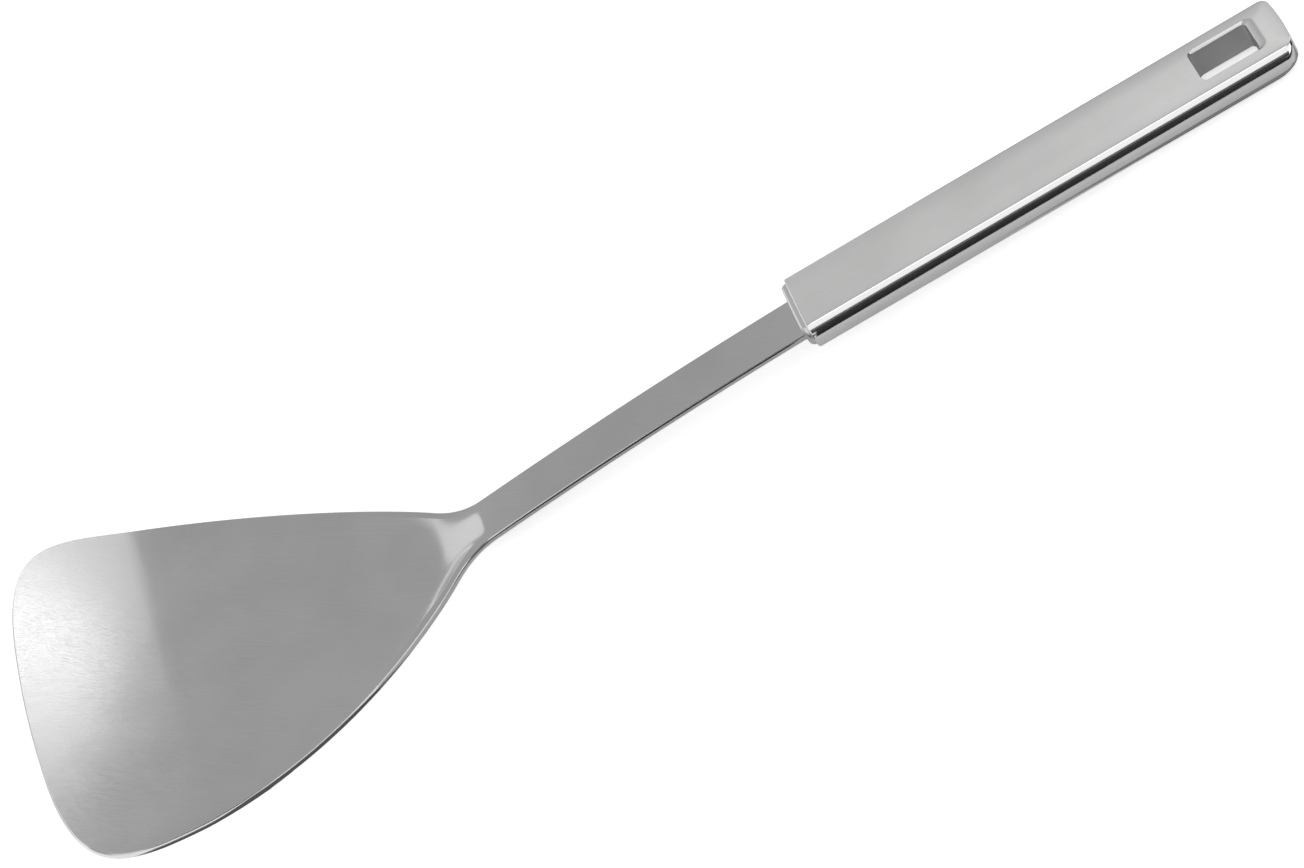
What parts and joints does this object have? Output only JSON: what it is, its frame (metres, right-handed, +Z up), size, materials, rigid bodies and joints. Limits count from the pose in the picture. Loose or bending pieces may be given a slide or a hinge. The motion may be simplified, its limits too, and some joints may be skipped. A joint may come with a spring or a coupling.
{
  "type": "wok turner",
  "caption": "All-steel wok turner: fan-shaped dished blade on a flat shank, hollow handle with a hanging slot.",
  "frame": {"origin": "middle of the bounding box at table level, with the turner lying on its blade's belly and its handle's rear end", "axes": "+X from the blade to the handle's rear end, +Y to the right of the person who holds it, +Z up from the table"},
  "size_m": [0.3716, 0.1112, 0.0334],
  "materials": {
    "blade_steel": "satin, brushed",
    "handle_steel": "satin top, polished sides",
    "plug_steel": "satin",
    "weld_steel": "raw weld metal"
  },
  "bodies": {
    "root": {"blade_and_shank": "blade_steel", "front_end_plug": "plug_steel", "upper_handle_shell": "handle_steel", "lower_handle_shell": "handle_steel", "hanging_slot_sleeve": "plug_steel", "tang_weld": "weld_steel", "handle_seam_weld": "weld_steel"}
  },
  "joints": []
}
